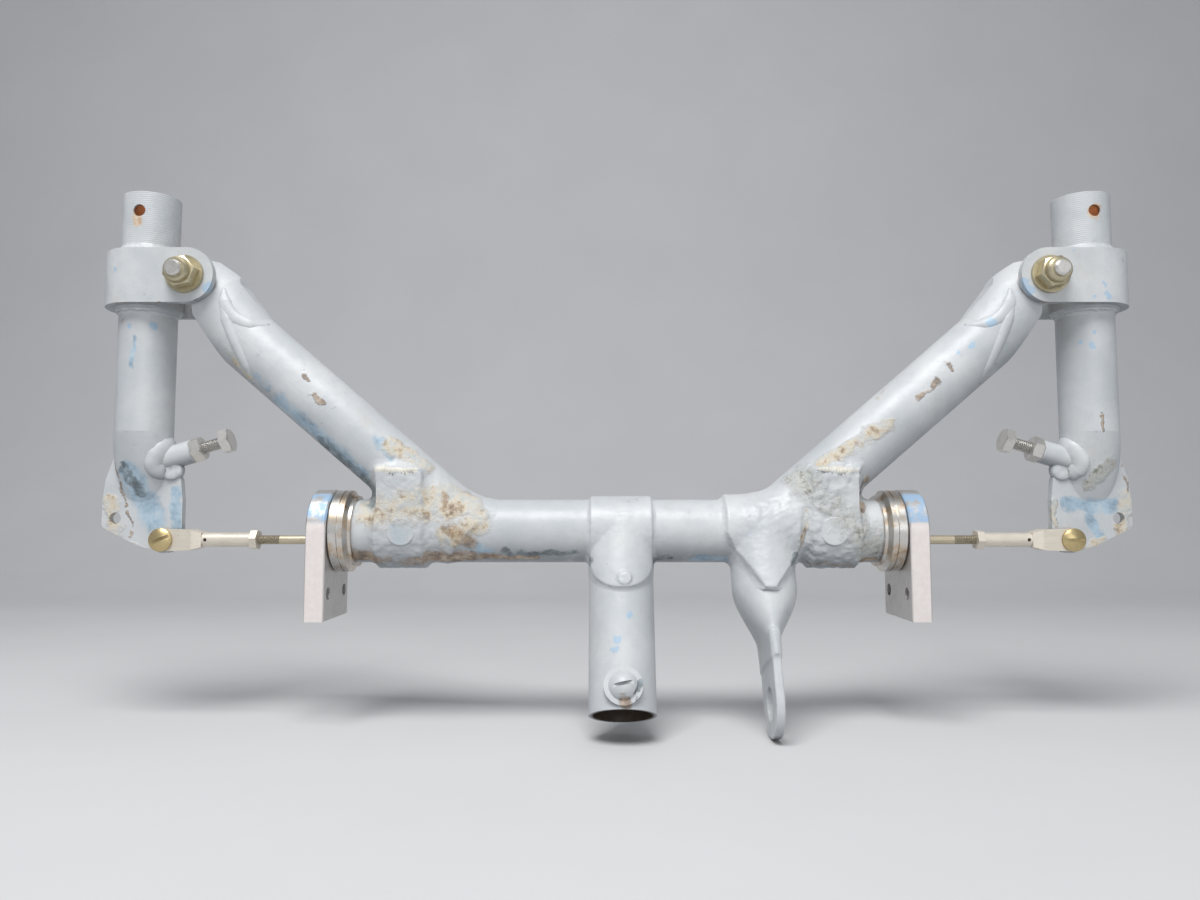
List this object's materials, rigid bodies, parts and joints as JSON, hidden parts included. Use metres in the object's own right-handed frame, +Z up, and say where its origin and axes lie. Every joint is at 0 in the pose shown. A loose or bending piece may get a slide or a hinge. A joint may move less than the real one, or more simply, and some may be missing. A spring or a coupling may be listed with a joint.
{
  "type": "control torque shaft",
  "caption": "Twin control-stick torque shaft: V-arms on a torque tube in two bearing blocks, tilting stick sockets joined by a rod, a down-tube and an elevator horn.",
  "frame": {"origin": "middle of the torque tube's axis", "axes": "+X along the torque axis to the picture's right, -Y to the pictured front, +Z up along the sticks"},
  "size_m": [0.4208, 0.0634, 0.2145],
  "materials": {
    "pale_paint": "worn satin paint",
    "block_aluminium": "machined",
    "bush_bronze": "plain bearing bronze",
    "pin_brass": "yellow plated",
    "cadmium_gold": "yellow cadmium plated",
    "rod_steel": "dull plated",
    "bolt_steel": "plated",
    "ring_steel": "turned, with a straw heat tint"
  },
  "bodies": {
    "left_block": {"left_bearing_block": "block_aluminium", "left_block_bush": "bush_bronze"},
    "torque_shaft": {"down_tube": "pale_paint", "down_tube_bolt": "pale_paint", "down_tube_bolt_bosses": "pale_paint", "down_tube_nut": "bolt_steel", "down_tube_saddle": "pale_paint", "elevator_horn": "pale_paint", "horn_saddle": "pale_paint", "left_arm": "pale_paint", "left_arm_bushing": "ring_steel", "left_journal": "ring_steel", "left_plug_welds": "pale_paint", "left_root_strap": "pale_paint", "left_thrust_ring": "ring_steel", "right_arm": "pale_paint", "right_arm_bushing": "ring_steel", "right_journal": "ring_steel", "right_plug_welds": "pale_paint", "right_root_strap": "pale_paint", "right_thrust_ring": "ring_steel", "torque_tube": "pale_paint"},
    "right_block": {"right_bearing_block": "block_aluminium", "right_block_bush": "bush_bronze"},
    "left_stick": {"left_pivot_bolt": "bolt_steel", "left_pivot_nut": "cadmium_gold", "left_pivot_washers": "cadmium_gold", "left_stick_sleeve": "pale_paint", "left_stick_strap": "pale_paint", "left_stick_tube": "pale_paint", "left_stop_bolt": "bolt_steel", "left_stop_boss": "pale_paint", "left_stop_nut": "bolt_steel"},
    "right_stick": {"right_pivot_bolt": "bolt_steel", "right_pivot_nut": "cadmium_gold", "right_pivot_washers": "cadmium_gold", "right_stick_sleeve": "pale_paint", "right_stick_strap": "pale_paint", "right_stick_tube": "pale_paint", "right_stop_bolt": "bolt_steel", "right_stop_boss": "pale_paint", "right_stop_nut": "bolt_steel"},
    "interconnect": {"interconnect_rod": "rod_steel", "left_clevis_pin": "pin_brass", "left_cotter_pin": "rod_steel", "left_fork": "rod_steel", "left_fork_nut": "rod_steel", "right_clevis_pin": "pin_brass", "right_cotter_pin": "rod_steel", "right_fork": "rod_steel", "right_fork_nut": "rod_steel"}
  },
  "joints": [
    {"name": "torque_shaft_turn", "type": "hinge", "parent": "left_block", "child": "torque_shaft", "pos_m": [0, 0, 0], "axis": [1, 0, 0], "range_deg": [-20, 20]},
    {"name": "right_block_turn", "type": "hinge", "parent": "torque_shaft", "child": "right_block", "pos_m": [0, 0, 0], "axis": [1, 0, 0], "range_deg": [-20, 20]},
    {"name": "left_stick_roll", "type": "hinge", "parent": "torque_shaft", "child": "left_stick", "pos_m": [-0.1723, 0, 0.102], "axis": [0, 1, 0], "range_deg": [-20.5, 20.5]},
    {"name": "right_stick_roll", "type": "hinge", "parent": "torque_shaft", "child": "right_stick", "pos_m": [0.1723, 0, 0.102], "axis": [0, 1, 0], "range_deg": [-20.5, 20.5]},
    {"name": "rod_swing", "type": "hinge", "parent": "left_stick", "child": "interconnect", "pos_m": [-0.1839, 0, -0.0036], "axis": [0, 1, 0], "range_deg": [-19.3, 19.3]}
  ],
  "couplings": [
    {"joint": "right_block_turn", "follows": "torque_shaft_turn", "ratio": -1},
    {"joint": "right_stick_roll", "follows": "left_stick_roll", "ratio": 1},
    {"joint": "rod_swing", "follows": "left_stick_roll", "ratio": -0.9376}
  ]
}
